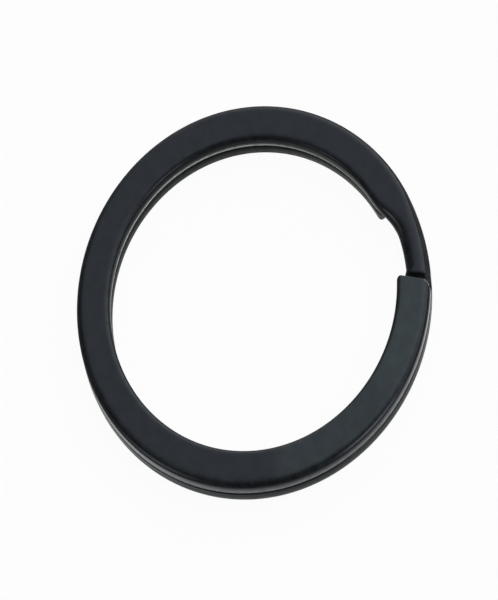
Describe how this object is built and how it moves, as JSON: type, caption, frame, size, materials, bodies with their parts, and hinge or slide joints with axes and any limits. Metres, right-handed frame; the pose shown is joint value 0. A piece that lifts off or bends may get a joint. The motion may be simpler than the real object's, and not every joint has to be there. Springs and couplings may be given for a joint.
{
  "type": "split key ring",
  "caption": "Flat split key ring of coated spring-steel strip in stacked turns, with a stepped crossover and free ends that spring open to take a key.",
  "frame": {"origin": "centre of the ring, on the surface that the ring lies on", "axes": "+Z along the ring's axis, from the bottom turn to the top turn; +X through the middle of the crossover; the turns climb right-handed about +Z"},
  "size_m": [0.032, 0.032, 0.0028],
  "materials": {
    "black_coat": "satin black coat on steel"
  },
  "bodies": {
    "ring": {"crossover": "black_coat", "top_turn": "black_coat", "bottom_turn": "black_coat"},
    "top_leaf": {"top_leaf": "black_coat", "top_end": "black_coat"},
    "bottom_leaf": {"bottom_leaf": "black_coat", "bottom_end": "black_coat"}
  },
  "joints": [
    {"name": "top_open", "type": "hinge", "parent": "ring", "child": "top_leaf", "pos_m": [-0.01545, 0.00415, 0.0028], "axis": [-0.2591, -0.9659, 0], "range_deg": [0, 5.64], "stiffness_Nm_per_rad": 6.3},
    {"name": "bottom_open", "type": "hinge", "parent": "ring", "child": "bottom_leaf", "pos_m": [-0.01545, -0.00415, 0], "axis": [-0.2591, 0.9659, 0], "range_deg": [0, 5.64], "stiffness_Nm_per_rad": 6.3}
  ]
}
